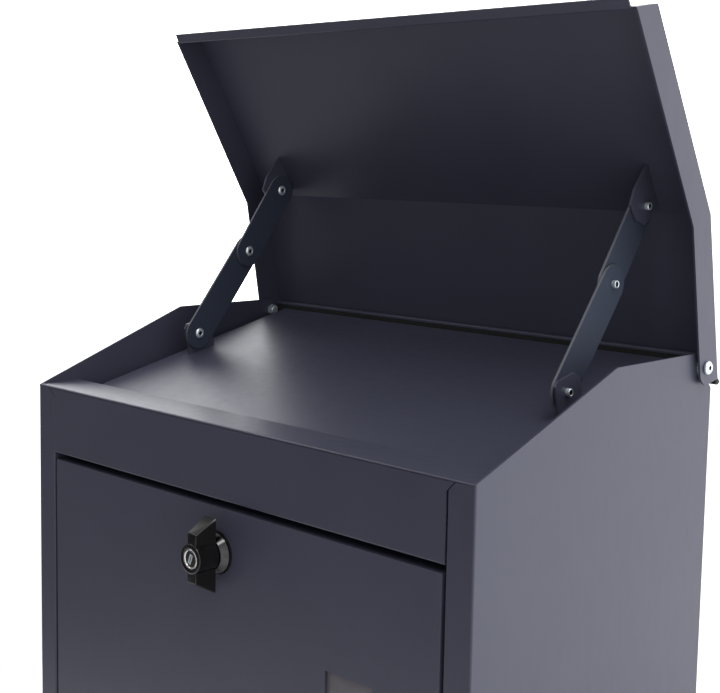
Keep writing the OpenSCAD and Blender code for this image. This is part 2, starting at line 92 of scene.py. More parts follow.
class Nodes:
    """A material's node tree with short ways to add and join nodes."""

    def __init__(self, name: str) -> None:
        """Makes an empty material with one shader.

        Args:
            name: the material's name.
        """
        self.material = bpy.data.materials.new(name)
        self.material.use_nodes = True
        self.tree = self.material.node_tree
        self.shader = self.tree.nodes["Principled BSDF"]
        coords = self.tree.nodes.new("ShaderNodeTexCoord")
        self.place = coords.outputs["Object"]

    def add(self, kind: str, **values: object) -> bpy.types.Node:
        """Adds a node and sets its inputs.

        Args:
            kind: the node's type without its ShaderNode prefix.
            values: input names, with underscores for spaces, and their values.

        Returns:
            The new node.
        """
        node = self.tree.nodes.new("ShaderNode" + kind)
        for key, value in values.items():
            node.inputs[key.replace("_", " ")].default_value = value
        return node

    def join(self, start: bpy.types.NodeSocket, end: bpy.types.NodeSocket) -> None:
        """Links two sockets."""
        self.tree.links.new(start, end)

    def noise(self, scale: float, detail: float = 2.0, drawn_out: float = 1.0
              ) -> bpy.types.NodeSocket:
        """Adds a noise pattern in the piece's own coordinates.

        Args:
            scale: pattern cycles per metre.
            detail: octaves of detail.
            drawn_out: how many times longer the pattern is upwards than across.

        Returns:
            The pattern's factor.
        """
        node = self.add("TexNoise", Scale=scale, Detail=detail)
        if drawn_out == 1.0:
            self.join(self.place, node.inputs["Vector"])
        else:
            stretch = self.add("Mapping", Scale=(1.0, 1.0, 1.0 / drawn_out))
            self.join(self.place, stretch.inputs["Vector"])
            self.join(stretch.outputs["Vector"], node.inputs["Vector"])
        return node.outputs["Fac"]

    def spread(self, factor: bpy.types.NodeSocket, low: float, high: float) -> bpy.types.NodeSocket:
        """Maps the middle of a noise pattern to a range.

        Args:
            factor: the pattern.
            low: value at the pattern's dark end.
            high: value at its bright end.

        Returns:
            The mapped value.
        """
        node = self.add("MapRange", From_Min=0.3, From_Max=0.7, To_Min=low, To_Max=high)
        self.join(factor, node.inputs["Value"])
        return node.outputs["Result"]

    def tint(self, factor: bpy.types.NodeSocket, dark: tuple, light: tuple) -> None:
        """Paints the shader's base colour between two tones.

        Args:
            factor: the pattern that chooses between them.
            dark: first colour.
            light: second colour.
        """
        mix = self.tree.nodes.new("ShaderNodeMix")
        mix.data_type = "RGBA"
        mix.inputs["A"].default_value = (*dark, 1.0)
        mix.inputs["B"].default_value = (*light, 1.0)
        self.join(factor, mix.inputs["Factor"])
        self.join(mix.outputs["Result"], self.shader.inputs["Base Color"])

    def relief(self, *layers: tuple[bpy.types.NodeSocket, float, float]) -> None:
        """Stacks bumps on the shader's normal.

        Args:
            layers: pattern, strength and height in metres of each bump.
        """
        normal = None
        for height, strength, distance in layers:
            bump = self.add("Bump", Strength=strength, Distance=distance)
            self.join(height, bump.inputs["Height"])
            if normal is not None:
                self.join(normal, bump.inputs["Normal"])
            normal = bump.outputs["Normal"]
        if normal is not None:
            self.join(normal, self.shader.inputs["Normal"])

    def set(self, **values: object) -> None:
        """Sets constants on the shader's own sockets."""
        for key, value in values.items():
            self.shader.inputs[key.replace("_", " ")].default_value = value


@dataclass(frozen=True)
class PowderCoat:
    """Fine satin powder coat with a faint orange peel."""

    name: str = "anthracite_powder_coat"
    slot: str = "powder_coat"
    dark: tuple = (0.0400, 0.0410, 0.0640)
    light: tuple = (0.0435, 0.0445, 0.0690)
    sheen_tint: tuple = (0.86, 0.88, 1.0, 1.0)
    smooth: float = 0.38
    rough: float = 0.43
    grain_per_m: float = 1500.0
    peel_per_m: float = 420.0
    streak_per_m: float = 150.0
    index: float = 1.45

    def make(self) -> bpy.types.Material:
        """Builds the material."""
        nodes = Nodes(self.name)
        nodes.tint(nodes.spread(nodes.noise(18.0, 4.0), 0.0, 1.0), self.dark, self.light)
        nodes.join(nodes.spread(nodes.noise(self.streak_per_m, 4.0, 3.0), self.smooth, self.rough),
                   nodes.shader.inputs["Roughness"])
        nodes.relief((nodes.noise(self.streak_per_m, 2.0, 3.0), 0.16, 0.00008),
                     (nodes.noise(self.peel_per_m, 1.0), 0.14, 0.00004),
                     (nodes.noise(self.grain_per_m, 1.0), 0.12, 0.00002))
        nodes.set(IOR=self.index, Specular_Tint=self.sheen_tint)
        return nodes.material


@dataclass(frozen=True)
class Metal:
    """Bare or plated metal with light surface variation."""

    name: str
    slot: str
    dark: tuple
    light: tuple
    smooth: float
    rough: float
    metallic: float = 1.0

    def make(self) -> bpy.types.Material:
        """Builds the material."""
        nodes = Nodes(self.name)
        nodes.tint(nodes.spread(nodes.noise(260.0, 4.0), 0.0, 1.0), self.dark, self.light)
        nodes.join(nodes.spread(nodes.noise(900.0, 3.0), self.smooth, self.rough),
                   nodes.shader.inputs["Roughness"])
        nodes.relief((nodes.noise(1800.0, 2.0), 0.15, 0.00003))
        nodes.set(Metallic=self.metallic)
        return nodes.material


@dataclass(frozen=True)
class Polymer:
    """Moulded plastic, lacquer or rubber with a fine grain."""

    name: str
    slot: str
    dark: tuple
    light: tuple
    smooth: float
    rough: float
    grain_m: float
    index: float = 1.5

    def make(self) -> bpy.types.Material:
        """Builds the material."""
        nodes = Nodes(self.name)
        nodes.tint(nodes.spread(nodes.noise(150.0, 3.0), 0.0, 1.0), self.dark, self.light)
        nodes.join(nodes.spread(nodes.noise(400.0, 2.0), self.smooth, self.rough),
                   nodes.shader.inputs["Roughness"])
        nodes.relief((nodes.noise(2200.0, 2.0), 0.3, self.grain_m))
        nodes.set(IOR=self.index)
        return nodes.material


@dataclass(frozen=True)
class Acrylic:
    """Smoked acrylic sheet with faint handling haze."""

    name: str = "smoked_acrylic"
    slot: str = "pane"

    def make(self) -> bpy.types.Material:
        """Builds the material."""
        nodes = Nodes(self.name)
        nodes.tint(nodes.spread(nodes.noise(60.0, 3.0), 0.0, 1.0),
                   (0.13, 0.12, 0.14), (0.15, 0.14, 0.16))
        nodes.join(nodes.spread(nodes.noise(120.0, 4.0), 0.10, 0.16),
                   nodes.shader.inputs["Roughness"])
        nodes.relief((nodes.noise(35.0, 1.0), 0.1, 0.0002))
        nodes.set(IOR=1.49, Transmission_Weight=0.25)
        return nodes.material


@dataclass
class Finishes:
    """Every finish, made once and handed to the pieces."""

    coat: object = field(default_factory=PowderCoat)
    # A darker, duller copy of the powder coat for the stay links; its darker tone is partly painted
    # shade.
    stay_coat_partly_shaded: object = field(default_factory=lambda: PowderCoat(
        name="stay_powder_coat_with_painted_shade", dark=(0.0300, 0.0365, 0.0550), light=(0.0335, 0.0400, 0.0600),
        smooth=0.5, rough=0.58, index=1.15))
    # A lighter copy of the powder coat for the links' cut edges: a painted highlight standing for the
    # light lines along them.
    edge_highlight_coat: object = field(default_factory=lambda: PowderCoat(
        name="painted_edge_highlight_coat", dark=(0.090, 0.094, 0.110), light=(0.120, 0.124, 0.140),
        smooth=0.32, rough=0.4))
    zinc: object = field(default_factory=lambda: Metal(
        "bright_zinc", "zinc", (0.62, 0.69, 0.74), (0.76, 0.83, 0.88), 0.24, 0.34, 0.7))
    # Chrome for the lock collar with a very dark base colour: a painted dark reflection.
    chrome: object = field(default_factory=lambda: Metal(
        "chrome_with_painted_dark_reflection", "chrome", (0.050, 0.048, 0.050), (0.075, 0.072, 0.075), 0.12, 0.18))
    ring: object = field(default_factory=lambda: Metal(
        "bright_chrome", "chrome", (0.62, 0.60, 0.60), (0.74, 0.72, 0.72), 0.14, 0.22, 0.8))
    knob: object = field(default_factory=lambda: Polymer(
        "black_lacquer", "knob_black", (0.0035, 0.0035, 0.0035), (0.005, 0.005, 0.0048),
        0.16, 0.21, 0.000002, 1.42))
    # Black rubber for the rubber parts, also used as painted shade in the screw recesses and rivet
    # hollows and, in part, under the back panel's hem.
    rubber: object = field(default_factory=lambda: Polymer(
        "black_rubber_and_painted_shade", "rubber", (0.004, 0.004, 0.005), (0.007, 0.007, 0.008),
        0.7, 0.85, 0.00006))
    pane: object = field(default_factory=Acrylic)
    made: dict = field(default_factory=dict)

    def dress(self, obj: bpy.types.Object, finish: object) -> None:
        """Gives a piece one finish.

        Args:
            obj: the piece.
            finish: one of this object's finishes.
        """
        if finish.name not in self.made:
            self.made[finish.name] = finish.make()
        obj.data.materials.clear()
        obj.data.materials.append(self.made[finish.name])

    def accent(self, obj: bpy.types.Object, finish: object,
               test: Callable[[bpy.types.MeshPolygon], bool]) -> None:
        """Gives some of a piece's faces a second finish.

        Args:
            obj: the piece.
            finish: one of this object's finishes.
            test: says whether a face gets it.
        """
        if finish.name not in self.made:
            self.made[finish.name] = finish.make()
        obj.data.materials.append(self.made[finish.name])
        for face in obj.data.polygons:
            if test(face):
                face.material_index = 1


FINISHES = Finishes()


# ---------------------------------------------------------------- shaping


def deselect_all() -> None:
    """Deselects every object."""
    for other in list(bpy.context.selected_objects):
        other.select_set(False)


def pick(obj: bpy.types.Object) -> None:
    """Makes one object the only selected and active one."""
    deselect_all()
    obj.select_set(True)
    bpy.context.view_layer.objects.active = obj


def select_edges(obj: bpy.types.Object, test: Callable[[bmesh.types.BMEdge], bool]) -> int:
    """Selects edges in edit mode by a test.

    Args:
        obj: the object in edit mode.
        test: says whether an edge is wanted.

    Returns:
        How many were selected.
    """
    bpy.ops.mesh.select_mode(type="EDGE")
    bpy.ops.mesh.select_all(action="DESELECT")
    mesh = bmesh.from_edit_mesh(obj.data)
    wanted = [edge for edge in mesh.edges if test(edge)]
    for edge in wanted:
        edge.select_set(True)
    bmesh.update_edit_mesh(obj.data)
    return len(wanted)


def select_front(obj: bpy.types.Object) -> None:
    """Selects the faces that look forwards, in edit mode."""
    bpy.ops.mesh.select_mode(type="FACE")
    bpy.ops.mesh.select_all(action="DESELECT")
    mesh = bmesh.from_edit_mesh(obj.data)
    for face in mesh.faces:
        face.select_set(face.normal.y < -ALONG)
    bmesh.update_edit_mesh(obj.data)


def turn_of(edge: bmesh.types.BMEdge) -> float:
    """Signed angle between an edge's two faces: positive outside, negative inside."""
    return edge.calc_face_angle_signed(0.0) if len(edge.link_faces) == 2 else 0.0


def lies_along(edge: bmesh.types.BMEdge, other: bmesh.types.BMEdge, near: float, far: float) -> bool:
    """Says whether an edge runs beside another within a distance band.

    Args:
        edge: the edge asked about.
        other: the edge it may run beside.
        near: least distance in metres.
        far: greatest distance in metres.

    Returns:
        True where the two are parallel, overlap and lie that far apart.
    """
    start = other.verts[0].co
    along = other.verts[1].co - start
    length = along.length
    along /= length
    own = edge.verts[1].co - edge.verts[0].co
    if abs(own.normalized().dot(along)) < PARALLEL:
        return False
    ends = sorted((vert.co - start).dot(along) for vert in edge.verts)
    if ends[1] < LEAST_SHARED or ends[0] > length - LEAST_SHARED:
        return False
    offset = edge.verts[0].co - start
    apart = (offset - along * offset.dot(along)).length
    return near < apart < far


@dataclass
class SheetWork:
    """Turns a CAD node's copy into sheet metal with bend radii and broken edges."""

    thickness: float = 1.5 * MM
    inner_radius: float = 0.9 * MM
    edge_break: float = 0.22 * MM
    least_bend: float = 9.0 * MM
    least_turn: float = math.radians(8)
    merge_gap: float = 0.002 * MM
    flat_turn: float = math.radians(0.6)
    break_turn: float = math.radians(46)
    band: tuple = (0.4, 1.7)
    smooth_angle: float = math.radians(38)

    def copy(self, node: str) -> bpy.types.Object:
        """Copies a CAD node's mesh into a clean piece.

        Args:
            node: the CAD node's name.

        Returns:
            The merged copy, with flat regions joined into single faces.
        """
        obj = bpy.data.objects.new(node + "_piece", frame["nodes"][node].data.copy())
        bpy.context.scene.collection.objects.link(obj)
        pick(obj)
        bpy.ops.object.mode_set(mode="EDIT")
        bpy.ops.mesh.select_all(action="SELECT")
        bpy.ops.mesh.remove_doubles(threshold=self.merge_gap)
        bpy.ops.mesh.customdata_custom_splitnormals_clear()
        bpy.ops.mesh.dissolve_limited(angle_limit=self.flat_turn)
        bpy.ops.object.mode_set(mode="OBJECT")
        return obj

    def round_bends(self, obj: bpy.types.Object) -> None:
        """Rounds each fold: its outer edge, then its inner edge.

        Args:
            obj: the piece, in object mode.
        """
        pick(obj)
        bpy.ops.object.mode_set(mode="EDIT")
        mesh = bmesh.from_edit_mesh(obj.data)
        inner = [edge for edge in mesh.edges
                 if turn_of(edge) < -self.least_turn and edge.calc_length() > self.least_bend]
        near, reach = (self.thickness * share for share in self.band)

        def is_outer(edge: bmesh.types.BMEdge) -> bool:
            """True for the outside of a fold."""
            return (turn_of(edge) > self.least_turn and edge.calc_length() > self.least_bend
                    and any(lies_along(edge, other, near, reach) for other in inner))

        if select_edges(obj, is_outer):
            bpy.ops.mesh.bevel(offset=self.inner_radius + self.thickness, segments=4,
                               clamp_overlap=True)

        def is_inner(edge: bmesh.types.BMEdge) -> bool:
            """True for the inside of a fold."""
            return turn_of(edge) < -self.least_turn and edge.calc_length() > self.least_bend

        if select_edges(obj, is_inner):
            bpy.ops.mesh.bevel(offset=self.inner_radius, segments=3, clamp_overlap=True)
        bpy.ops.object.mode_set(mode="OBJECT")

    def finish(self, obj: bpy.types.Object, edge_break: float | None = None) -> None:
        """Breaks the cut edges and evens out the shading.

        Args:
            obj: the piece, in object mode.
            edge_break: width of the broken edges, where it isn't the usual one.
        """
        pick(obj)
        bevel = obj.modifiers.new("broken_edges", "BEVEL")
        bevel.limit_method = "ANGLE"
        bevel.angle_limit = self.break_turn
        bevel.width = self.edge_break if edge_break is None else edge_break
        bevel.segments = 2
        bevel.use_clamp_overlap = True
        bpy.ops.object.modifier_apply(modifier=bevel.name)
        bpy.ops.object.shade_smooth_by_angle(angle=self.smooth_angle)
        weigh = obj.modifiers.new("even_shading", "WEIGHTED_NORMAL")
        weigh.keep_sharp = True
        weigh.weight = 90
        bpy.ops.object.modifier_apply(modifier=weigh.name)


SHEET = SheetWork()
LINK_SHEET = SheetWork(thickness=2.0 * MM, edge_break=0.35 * MM)


def settle(obj: bpy.types.Object, node: str, finish: object) -> bpy.types.Object:
    """Dresses a finished piece and puts it in its CAD node's place.

    Args:
        obj: the piece.
        node: the CAD node that it stands for.
        finish: its finish.

    Returns:
        The piece.
    """
    FINISHES.dress(obj, finish)
    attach(obj, frame["nodes"][node]["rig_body"])
    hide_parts(node)
    LOG.info("%s: %d faces", obj.name, len(obj.data.polygons))
    return obj


def folded(node: str, work: SheetWork = SHEET, finish: object = None) -> bpy.types.Object:
    """Makes a folded sheet piece from its CAD node.

    Args:
        node: the CAD node's name.
        work: the sheet's thickness and radii.
        finish: the piece's finish, or None for the powder coat.

    Returns:
        The piece.
    """
    obj = work.copy(node)
    work.round_bends(obj)
    work.finish(obj)
    return settle(obj, node, finish or FINISHES.coat)


def plain(node: str, finish: object, edge_break: float = 0.2 * MM) -> bpy.types.Object:
    """Makes a solid piece with broken edges from its CAD node.

    Args:
        node: the CAD node's name.
        finish: the piece's finish.
        edge_break: width of its broken edges in metres.

    Returns:
        The piece.
    """
    obj = SHEET.copy(node)
    SHEET.finish(obj, edge_break)
    return settle(obj, node, finish)


def turned(name: str, axis: Axis, centre: Vector, profile: list[tuple[float, float]],
           sides: int = 48) -> bpy.types.Object:
    """Makes a turned piece from a disc that is extruded and scaled step by step.

    Args:
        name: the piece's name.
        axis: the direction it lies in.
        centre: a point on its axis; the profile's places count from there.
        profile: place along the axis and radius of each step, in metres.
        sides: facets around.

    Returns:
        The closed piece.
    """
    deselect_all()
    bpy.ops.mesh.primitive_circle_add(vertices=sides, radius=profile[0][1], fill_type="NGON",
                                      location=(0, 0, profile[0][0]))
    obj = bpy.context.object
    obj.name = name
    bpy.ops.object.transform_apply(location=True, rotation=False, scale=False)
    bpy.ops.object.mode_set(mode="EDIT")
    bpy.ops.mesh.select_all(action="SELECT")
    for (place, radius), (next_place, next_radius) in zip(profile, profile[1:]):
        bpy.ops.mesh.extrude_region_move(
            TRANSFORM_OT_translate={"value": (0, 0, next_place - place),
                                    "orient_type": "GLOBAL"})
        ratio = next_radius / radius
        bpy.ops.transform.resize(value=(ratio, ratio, 1.0), center_override=(0, 0, next_place))
    bpy.ops.mesh.select_all(action="SELECT")
    bpy.ops.mesh.normals_make_consistent(inside=False)
    bpy.ops.object.mode_set(mode="OBJECT")
    turn = Matrix.Rotation(math.pi / 2, 4, "Y") if axis is Axis.X else Matrix.Rotation(
        -math.pi / 2, 4, "X")
    obj.matrix_world = Matrix.Translation(centre) @ turn
    pick(obj)
    bpy.ops.object.transform_apply(location=True, rotation=True, scale=True)
    return obj


def mid(node: str) -> Vector:
    """Middle of a CAD node's box."""
    low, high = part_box(node)
    return (low + high) / 2


# ---------------------------------------------------------------- sub-assemblies


@dataclass
class Carcass:
    """The folded body: sides, back, base, rail, sill and what joins them."""

    def build(self) -> None:
        """Makes every piece of the body."""
        for node in ("left_side_panel", "right_side_panel", "back_panel", "base_panel",
                     "front_rail", "front_sill"):
            folded(node)
        # The black seal strip under the back panel's hem is partly a real seal and partly painted shade
        # for the dark gap there.
        plain("rear_seal", FINISHES.rubber, 0.2 * MM)
        plain("back_rivets", FINISHES.zinc, 0.4 * MM)
        plain("wall_spacers", FINISHES.rubber, 0.8 * MM)


@dataclass
class FlapHinge:
    """The flap's rod and its two brackets under the rail."""

    rod: float = 2.92 * MM
    chamfer: float = 0.4 * MM

    def build(self) -> None:
        """Makes the rod and the brackets."""
        low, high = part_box("flap_rod")
        half = (high.x - low.x) / 2
        end = self.rod - self.chamfer
        obj = turned("flap_rod_piece", Axis.X, mid("flap_rod"), [
            (-half, end), (self.chamfer - half, self.rod), (half - self.chamfer, self.rod),
            (half, end)], 64)
        SHEET.finish(obj, 0.05 * MM)
        settle(obj, "flap_rod", FINISHES.zinc)
        for side in Side:
            folded(f"flap_bracket_{side.value}", LINK_SHEET)


@dataclass
class LidHinge:
    """The shoulder screws, nuts and washers that the lid turns on."""

    recess: float = 1.9 * MM
    recess_depth: float = 2.5 * MM

    def screw(self, side: Side) -> None:
        """Makes one shoulder screw whose hex recess is painted black as painted shade.

        Args:
            side: the side that it's on.
        """
        node = f"hinge_screw_{side.value}"
        obj = plain(node, FINISHES.zinc, 0.25 * MM)
        low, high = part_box(node)
        centre = (low + high) / 2

        def in_painted_shade_recess(face: bpy.types.MeshPolygon) -> bool:
            """True for the walls and the bottom of the head's recess, which are painted black as
            painted shade.
            """
            deep = high.x - face.center.x if side is Side.RIGHT else face.center.x - low.x
            out = math.hypot(face.center.y - centre.y, face.center.z - centre.z)
            return 0.15 * MM < deep < self.recess_depth and out < self.recess

        # Painted shade: the recess gets the black rubber finish.
        FINISHES.accent(obj, FINISHES.rubber, in_painted_shade_recess)

    def build(self) -> None:
        """Makes both hinge sets."""
        for side in Side:
            self.screw(side)
            plain(f"hinge_nut_{side.value}", FINISHES.zinc, 0.3 * MM)
            plain(f"hinge_spacer_{side.value}", FINISHES.zinc, 0.2 * MM)


@dataclass
class Lid:
    """The lid with its edge strip and stay brackets."""

    def build(self) -> None:
        """Makes the lid's pieces."""
        folded("lid_panel")
        plain("lid_edge_strip", FINISHES.rubber, 0.3 * MM)
        for side in Side:
            folded(f"lid_bracket_{side.value}", LINK_SHEET)


@dataclass
class Stay:
    """One folding stay between the lid and the flap, with its rivets."""

    side: Side
    shank: float = 2.4 * MM
    head: float = 4.2 * MM
    head_height: float = 1.4 * MM
    core: float = 1.7 * MM
    tail: float = 2.7 * MM

    def head_profile(self, face: float, inner_end: float) -> list[tuple[float, float]]:
        """Profile from the shank to the bottom of the head's recess.

        Args:
            face: place of the face under the head.
            inner_end: place of the recess's bottom.

        Returns:
            Places and radii, with the head towards the negative side.
        """
        top = face - self.head_height
        return [(face, self.shank), (face, self.head * 0.97), (face - 0.3 * MM, self.head),
                (face - 0.7 * MM, self.head * 0.96), (face - 1.1 * MM, self.head * 0.82),
                (top, self.head * 0.62), (top - 0.02 * MM, self.core * 1.25),
                (top + 0.2 * MM, self.core), (inner_end, self.core)]

    def tail_profile(self, end: float, face: float) -> list[tuple[float, float]]:
        """Profile from the tail's recess out and back to the shank.

        Args:
            end: place of the tail's open end.
            face: place of the face under the tail.

        Returns:
            Places and radii, from the recess's bottom.
        """
        return [(face + 0.5 * MM, self.core), (end - 0.2 * MM, self.core),
                (end, self.core * 1.2), (end, self.tail * 0.86), (end - 0.3 * MM, self.tail),
                (face, self.tail), (face, self.shank)]

    def rivet(self, node: str, with_head: bool, with_tail: bool) -> None:
        """Makes a rivet, or half of one, in its CAD node's place.

        Args:
            node: the CAD node's name.
            with_head: whether it has the ringed head.
            with_tail: whether it has the hollow tail.
        """
        low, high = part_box(node)
        length = high.x - low.x
        centre = (low + high) / 2
        centre.x = low.x if self.side is Side.RIGHT else high.x
        profile: list[tuple[float, float]] = []
        if with_tail:
            profile += self.tail_profile(length, length - 3.0 * MM)
        else:
            profile += [(length, self.shank)]
        if with_head:
            profile += self.head_profile(self.head_height, self.head_height + 0.7 * MM)
        else:
            profile += [(0.0, self.shank)]
        if self.side is Side.LEFT:
            profile = [(-place, radius) for place, radius in profile]
        obj = turned(node + "_piece", Axis.X, centre, profile, 32)
        SHEET.finish(obj, 0.05 * MM)
        settle(obj, node, FINISHES.zinc)
        # Painted shade: the rivets' hollow cores get the black rubber finish.
        FINISHES.accent(obj, FINISHES.rubber, lambda face: math.hypot(
            face.center.y - centre.y, face.center.z - centre.z) < self.core * 1.02)

    def build(self) -> None:
        """Makes the links and the rivets of this stay."""
        name = self.side.value
        for link in (f"upper_link_{name}", f"lower_link_{name}"):
            # The links get the darker, duller copy of the coat, partly painted shade.
            obj = folded(link, LINK_SHEET, FINISHES.stay_coat_partly_shaded)
            # The cut edges get the lighter coat, a painted highlight along the links' edges.
            FINISHES.accent(obj, FINISHES.edge_highlight_coat, lambda face: abs(face.normal.x) < 0.4)
        self.rivet(f"lid_rivet_{name}", True, True)
        self.rivet(f"flap_rivet_{name}", True, True)
        self.rivet(f"knee_rivet_{name}", True, False)
        self.rivet(f"knee_tail_{name}", False, True)


@dataclass
class Flap:
    """The inner flap and its two lugs."""

    def build(self) -> None:
        """Makes the flap's pieces."""
        folded("flap_plate")
        for side in Side:
            folded(f"flap_lug_{side.value}", LINK_SHEET)


@dataclass
class Door:
    """The drop-down door, its pins and its window."""

    def build(self) -> None:
        """Makes the door's pieces."""
        folded("door_panel", SheetWork(inner_radius=1.8 * MM))
        plain("window_pane", FINISHES.pane, 0.3 * MM)
        plain("window_tape", FINISHES.rubber, 0.1 * MM)
        for side in Side:
            plain(f"door_pin_{side.value}", FINISHES.zinc, 0.3 * MM)


@dataclass
class Lock:
    """The quarter-turn lock: collar, knob, plug, nut and cam."""

    barrel_radius: float = 10.5 * MM
    root_thick: float = 12.4 * MM
    tip_thick: float = 8.8 * MM
    root_span: float = 51.5 * MM
    tip_span: float = 34.0 * MM
    wing_chamfer: float = 0.75 * MM
    bore_radius: float = 7.06 * MM
    bore_depth: float = 12.0 * MM
    dot_radius: float = 0.65 * MM
    dot_place: float = 8.7 * MM
    spindle: float = 3.5 * MM
    hole: float = 3.56 * MM
    housing: float = 9.0 * MM
    pitch: float = 1.0 * MM
    plug_rim: float = 6.95 * MM
    face_radius: float = 5.45 * MM
    key_width: float = 2.9 * MM
    key_height: float = 7.0 * MM
    key_frame: float = 0.95 * MM
    key_slant: float = math.radians(22)

    def wing(self, centre: Vector, root: float, tip: float) -> bpy.types.Object:
        """Makes the knob's tapering wing.

        Args:
            centre: the lock's axis, at any depth.
            root: the wing's Y at its root.
            tip: its Y at its tip.

        Returns:
            The wing as a closed piece.
        """
        deselect_all()
        bpy.ops.mesh.primitive_cube_add(size=1.0)
        obj = bpy.context.object
        obj.name = "knob_wing"
        depth = root - tip
        obj.matrix_world = Matrix.Translation((centre.x, (root + tip) / 2, centre.z)) @ Matrix.Diagonal(
            (self.root_thick, depth, self.root_span, 1.0))
        bpy.ops.object.transform_apply(location=True, rotation=True, scale=True)
        bpy.ops.object.mode_set(mode="EDIT")
        select_front(obj)
        bpy.ops.transform.resize(
            value=(self.tip_thick / self.root_thick, 1.0, self.tip_span / self.root_span),
            center_override=(centre.x, tip, centre.z))
        select_edges(obj, lambda edge: all(face.normal.y < ALONG for face in edge.link_faces))
        bpy.ops.mesh.bevel(offset=self.wing_chamfer, segments=1, clamp_overlap=True)
        bpy.ops.object.mode_set(mode="OBJECT")
        return obj

    def knob(self) -> None:
        """Makes the knob: barrel, wing and spindle in one closed piece."""
        low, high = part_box("knob")
        centre = mid("lock_body")
        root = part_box("lock_body")[0].y - 0.4 * MM
        face = low.y
        depth = high.y
        radius = self.barrel_radius
        profile = [(depth, self.spindle), (root, self.spindle), (root, radius - 0.5 * MM),
                   (root - 0.5 * MM, radius), (face + 1.2 * MM, radius),
                   (face + 0.5 * MM, radius - 0.25 * MM), (face + 0.12 * MM, radius - 0.8 * MM),
                   (face, radius - 1.5 * MM), (face, 7.6 * MM),
                   (face + 0.4 * MM, self.bore_radius), (face + self.bore_depth, self.bore_radius)]
        axis = Vector((centre.x, 0.0, centre.z))
        obj = turned("knob_piece", Axis.Y, axis, profile, 64)
        wing = self.wing(centre, root, face + 1.4 * MM)
        bore = turned("knob_bore", Axis.Y, axis,
                      [(face - 5 * MM, self.bore_radius),
                       (face + self.bore_depth, self.bore_radius)], 64)
        dot = turned("knob_dot", Axis.Y, axis + Vector((0, 0, self.dot_place)),
                     [(face - 1 * MM, self.dot_radius), (face + 0.35 * MM, self.dot_radius)], 16)
        for tool, action in ((wing, "UNION"), (bore, "DIFFERENCE"), (dot, "DIFFERENCE")):
            pick(obj)
            change = obj.modifiers.new("joined", "BOOLEAN")
            change.object = tool
            change.operation = action
            change.solver = "EXACT"
            bpy.ops.object.modifier_apply(modifier=change.name)
        for tool in (wing, bore, dot):
            bpy.data.objects.remove(tool)
        SHEET.finish(obj, 0.12 * MM)
        settle(obj, "knob", FINISHES.knob)

    def collar(self) -> None:
        """Makes the lock body: a dished collar and a threaded barrel."""
        low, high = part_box("lock_body")
        centre = mid("lock_body")
        rim = (high.x - low.x) / 2
        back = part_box("lock_washer")[0].y
        front = low.y
        housing = self.housing
        profile = [(high.y - 0.5 * MM, self.hole), (high.y, 3.9 * MM), (high.y, housing - 0.6 * MM)]
        place = high.y - 0.6 * MM
        while place > back + 4.0 * MM:
            profile += [(place, housing), (place - self.pitch / 2, housing - 0.55 * MM)]
            place -= self.pitch
        profile += [(back + 3.0 * MM, housing), (back, housing), (back, rim - 0.3 * MM),
                    (back - 0.7 * MM, rim), (back - 1.0 * MM, rim - 0.25 * MM),
                    (front + 0.5 * MM, rim - 3.0 * MM), (front + 0.12 * MM, rim - 3.2 * MM),
                    (front, rim - 3.6 * MM), (front, 4.2 * MM), (front + 0.5 * MM, self.hole)]
        obj = turned("lock_body_piece", Axis.Y, Vector((centre.x, 0, centre.z)), profile, 64)
        SHEET.finish(obj, 0.04 * MM)
        # The collar's dark tone is a painted reflection.
        settle(obj, "lock_body", FINISHES.chrome)

    def plug(self) -> None:
        """Makes the key plug: a chrome ring, a black face and a bright key way."""
        low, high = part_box("key_plug")
        axis = Vector(((low.x + high.x) / 2, 0.0, (low.z + high.z) / 2))
        front = low.y
        rim = self.plug_rim
        obj = turned("key_plug_piece", Axis.Y, axis, [
            (high.y, 6.4 * MM), (high.y - 0.5 * MM, rim), (front + 0.3 * MM, rim),
            (front, rim - 0.3 * MM), (front, 5.9 * MM), (front + 0.25 * MM, 5.6 * MM),
            (front + 0.7 * MM, 5.4 * MM), (front + 0.62 * MM, 3.0 * MM)], 48)
        SHEET.finish(obj, 0.05 * MM)
        settle(obj, "key_plug", FINISHES.ring)

        def in_face(to_test: bpy.types.MeshPolygon) -> bool:
            """True for the plug's face inside its chrome ring."""
            out = math.hypot(to_test.center.x - axis.x, to_test.center.z - axis.z)
            return to_test.center.y < front + 2 * MM and out < self.face_radius

        FINISHES.accent(obj, FINISHES.rubber, in_face)
        self.key_way(axis, front)

    def key_way(self, axis: Vector, front: float) -> None:
        """Makes the slanted key way: a bright raised frame around a dark slit.

        Args:
            axis: the plug's axis.
            front: Y of the plug's front rim.
        """
        deselect_all()
        bpy.ops.mesh.primitive_cube_add(size=1.0)
        obj = bpy.context.object
        obj.name = "key_way"
        turn = Matrix.Rotation(self.key_slant, 4, "Y")
        obj.matrix_world = (Matrix.Translation((axis.x, front + 0.62 * MM, axis.z)) @ turn
                            @ Matrix.Diagonal((self.key_width, 1.0 * MM, self.key_height, 1.0)))
        bpy.ops.object.transform_apply(location=True, rotation=True, scale=True)
        bpy.ops.object.mode_set(mode="EDIT")
        select_front(obj)
        bpy.ops.mesh.inset(thickness=self.key_frame)
        bpy.ops.mesh.extrude_region_move(TRANSFORM_OT_translate={"value": (0, 0.7 * MM, 0)})
        bpy.ops.object.mode_set(mode="OBJECT")
        SHEET.finish(obj, 0.12 * MM)
        FINISHES.dress(obj, FINISHES.zinc)
        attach(obj, frame["nodes"]["key_plug"]["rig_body"])
        LOG.info("%s: %d faces", obj.name, len(obj.data.polygons))

